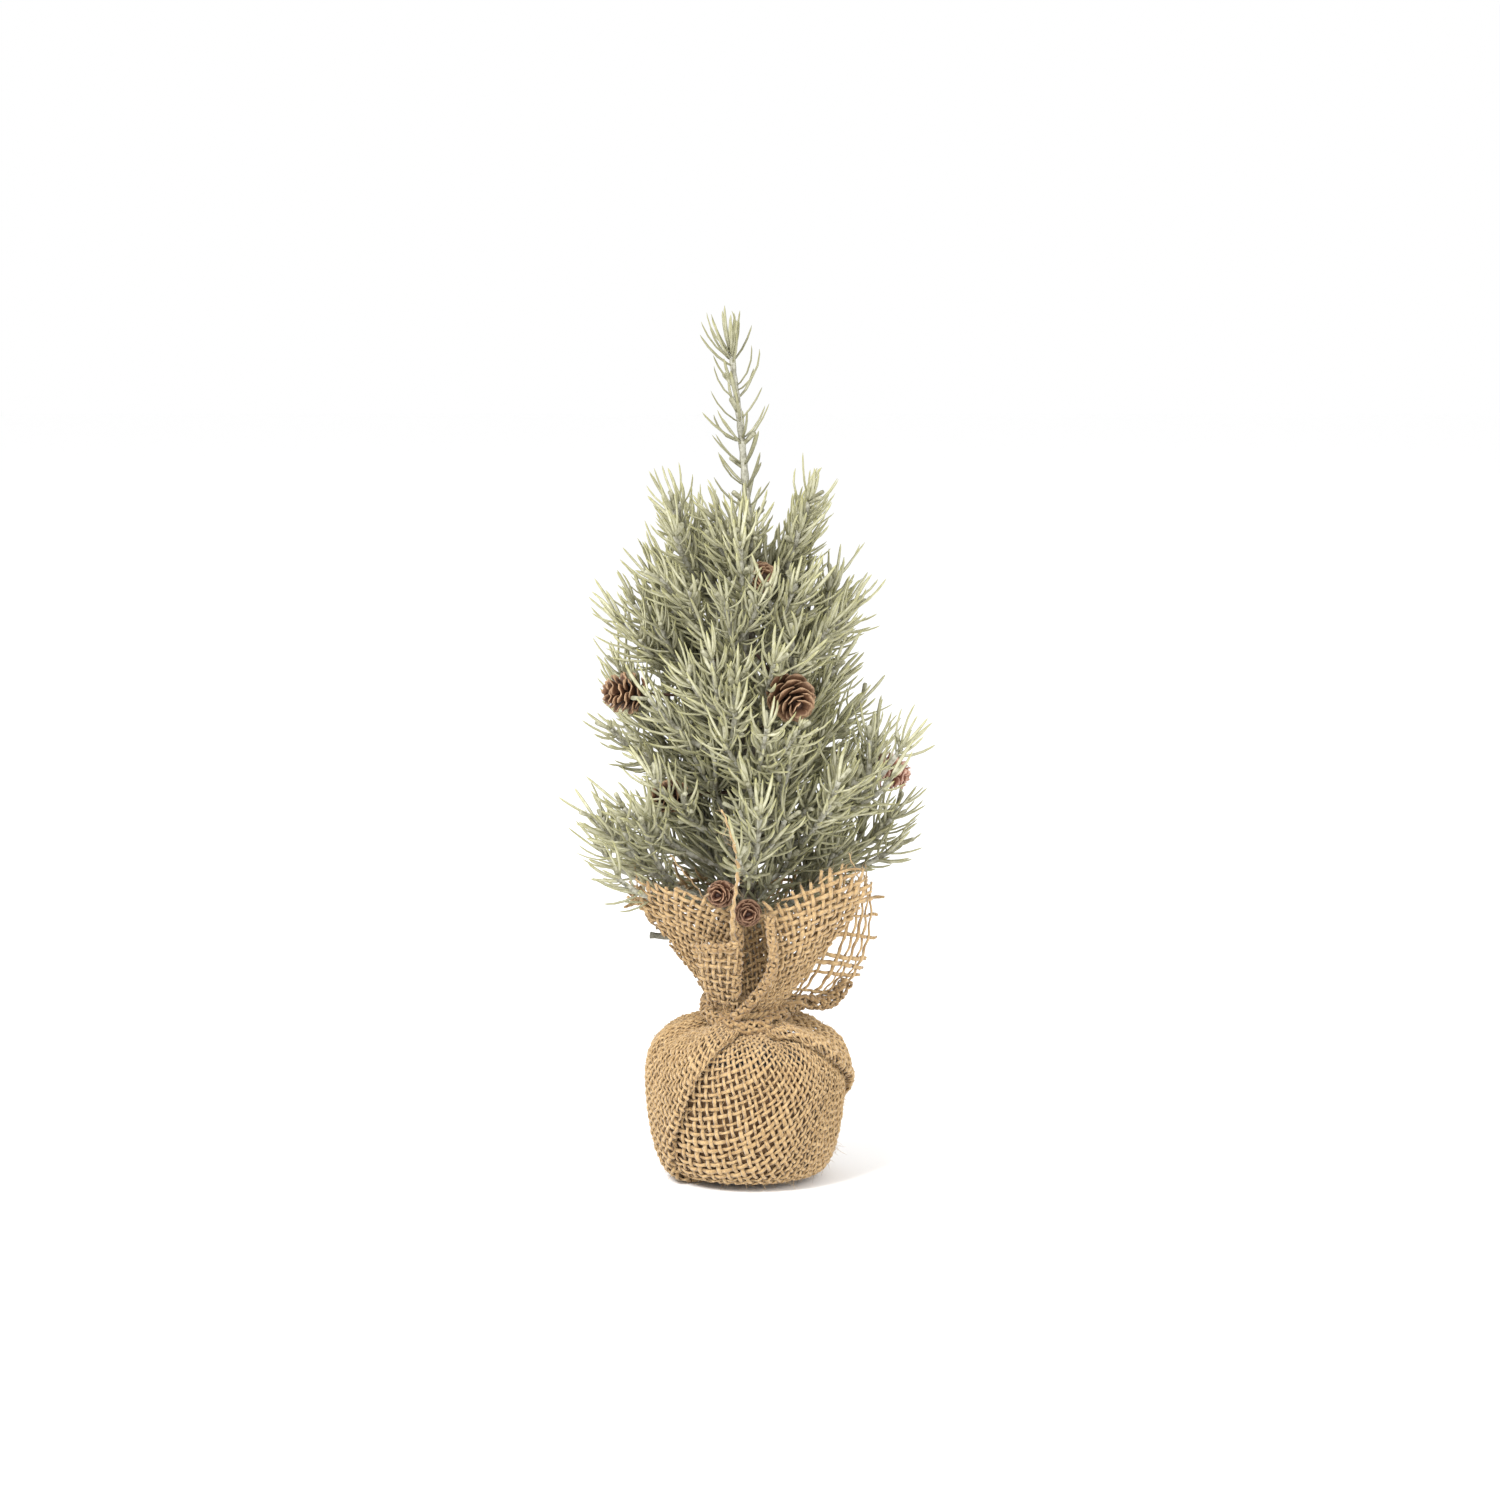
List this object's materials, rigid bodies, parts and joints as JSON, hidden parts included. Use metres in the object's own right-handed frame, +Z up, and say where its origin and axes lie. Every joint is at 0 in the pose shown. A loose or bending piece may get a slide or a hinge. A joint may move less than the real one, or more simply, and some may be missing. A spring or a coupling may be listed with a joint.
{
  "type": "artificial tabletop tree",
  "caption": "Small artificial evergreen tree with bendable frosted sprigs and larch cones, in a weighted pot wrapped and tied in burlap.",
  "frame": {"origin": "centre of the flat underside, where the tree stands on the table", "axes": "+Z up along the trunk, front towards -Y, +X to the right seen from the front"},
  "size_m": [0.1261, 0.0999, 0.305],
  "materials": {
    "burlap": "open plain weave of natural jute, matte and fibrous",
    "jute": "twisted jute strands, matte with loose fibres",
    "pot_plastic": "moulded, dark brown and matte",
    "cement": "cast, rough",
    "steel_wire": "drawn wire",
    "bark": "grey-brown, ribbed like bark",
    "stem": "grey-green, dusted with frost",
    "needles": "grey-green with a frosted bloom and yellow-green tips",
    "cone": "dry scales, brown with paler edges"
  },
  "bodies": {
    "base": {"burlap_wrap": "burlap", "neck_tie": "jute", "pot": "pot_plastic", "ballast": "cement", "trunk_wire": "steel_wire", "trunk_sleeve": "bark", "crown_cone": "cone", "left_cone": "cone", "front_cone": "cone", "right_cone": "cone", "hidden_left_cone": "cone", "collar_cone_left": "cone", "collar_cone_right": "cone", "back_cone": "cone", "low_back_cone": "cone"},
    "top_shoot": {"top_shoot": "needles"},
    "crown_left": {"crown_left_stem": "stem", "crown_left_tip_sprig": "needles", "crown_left_side_sprig": "needles"},
    "crown_right": {"crown_right_stem": "stem", "crown_right_tip_sprig": "needles", "crown_right_side_sprig": "needles"},
    "crown_back": {"crown_back_stem": "stem", "crown_back_tip_sprig": "needles", "crown_back_side_sprig": "needles"},
    "upper_left": {"upper_left_stem": "stem", "upper_left_tip_sprig": "needles", "upper_left_side_sprig": "needles"},
    "upper_right": {"upper_right_stem": "stem", "upper_right_tip_sprig": "needles", "upper_right_side_sprig": "needles"},
    "upper_front": {"upper_front_stem": "stem", "upper_front_tip_sprig": "needles", "upper_front_side_sprig": "needles"},
    "middle_left": {"middle_left_stem": "stem", "middle_left_tip_sprig": "needles", "middle_left_side_sprig": "needles"},
    "middle_right": {"middle_right_stem": "stem", "middle_right_tip_sprig": "needles", "middle_right_side_sprig": "needles"},
    "middle_front": {"middle_front_stem": "stem", "middle_front_tip_sprig": "needles", "middle_front_side_sprig": "needles"},
    "middle_back": {"middle_back_stem": "stem", "middle_back_tip_sprig": "needles", "middle_back_side_sprig": "needles"},
    "low_left": {"low_left_stem": "stem", "low_left_tip_sprig": "needles", "low_left_side_sprig": "needles"},
    "low_right": {"low_right_stem": "stem", "low_right_tip_sprig": "needles", "low_right_side_sprig": "needles"},
    "low_front": {"low_front_stem": "stem", "low_front_tip_sprig": "needles", "low_front_side_sprig": "needles"},
    "low_back": {"low_back_stem": "stem", "low_back_tip_sprig": "needles", "low_back_side_sprig": "needles"}
  },
  "joints": [
    {"name": "top_shoot_bend", "type": "hinge", "parent": "base", "child": "top_shoot", "pos_m": [0, 0, 0.2304], "axis": [0, 1, 0], "range_deg": [-15, 10]},
    {"name": "crown_left_bend", "type": "hinge", "parent": "base", "child": "crown_left", "pos_m": [-0.00438, 0.00046, 0.194], "axis": [0.1045, 0.9945, 0], "range_deg": [-20, 10]},
    {"name": "crown_right_bend", "type": "hinge", "parent": "base", "child": "crown_right", "pos_m": [0.0043, -0.00091, 0.203], "axis": [-0.2079, -0.9781, 0], "range_deg": [-20, 10]},
    {"name": "crown_back_bend", "type": "hinge", "parent": "base", "child": "crown_back", "pos_m": [-0.00061, 0.00436, 0.184], "axis": [0.9903, 0.1392, 0], "range_deg": [-20, 10]},
    {"name": "upper_left_bend", "type": "hinge", "parent": "base", "child": "upper_left", "pos_m": [-0.00347, 0.00271, 0.164], "axis": [0.6157, 0.788, 0], "range_deg": [-20, 10]},
    {"name": "upper_right_bend", "type": "hinge", "parent": "base", "child": "upper_right", "pos_m": [0.00395, 0.00193, 0.16], "axis": [0.4384, -0.8988, 0], "range_deg": [-20, 10]},
    {"name": "upper_front_bend", "type": "hinge", "parent": "base", "child": "upper_front", "pos_m": [-0.00172, -0.00405, 0.142], "axis": [-0.9205, 0.3907, 0], "range_deg": [-20, 10]},
    {"name": "middle_left_bend", "type": "hinge", "parent": "base", "child": "middle_left", "pos_m": [-0.0043, 0.00091, 0.132], "axis": [0.2079, 0.9781, 0], "range_deg": [-20, 10]},
    {"name": "middle_right_bend", "type": "hinge", "parent": "base", "child": "middle_right", "pos_m": [0.00427, -0.00106, 0.114], "axis": [-0.2419, -0.9703, 0], "range_deg": [-20, 10]},
    {"name": "middle_front_bend", "type": "hinge", "parent": "base", "child": "middle_front", "pos_m": [0.002, -0.00392, 0.122], "axis": [-0.891, -0.454, 0], "range_deg": [-20, 10]},
    {"name": "middle_back_bend", "type": "hinge", "parent": "base", "child": "middle_back", "pos_m": [-0.00076, 0.00433, 0.13], "axis": [0.9848, 0.1736, 0], "range_deg": [-20, 10]},
    {"name": "low_left_bend", "type": "hinge", "parent": "base", "child": "low_left", "pos_m": [-0.0043, -0.00091, 0.096], "axis": [-0.2079, 0.9781, 0], "range_deg": [-10, 10]},
    {"name": "low_right_bend", "type": "hinge", "parent": "base", "child": "low_right", "pos_m": [0.00423, 0.00121, 0.095], "axis": [0.2756, -0.9613, 0], "range_deg": [-14, 10]},
    {"name": "low_front_bend", "type": "hinge", "parent": "base", "child": "low_front", "pos_m": [0.00046, -0.00438, 0.104], "axis": [-0.9945, -0.1045, 0], "range_deg": [-20, 10]},
    {"name": "low_back_bend", "type": "hinge", "parent": "base", "child": "low_back", "pos_m": [-0.00233, 0.00373, 0.093], "axis": [0.848, 0.5299, 0], "range_deg": [-12, 10]}
  ]
}
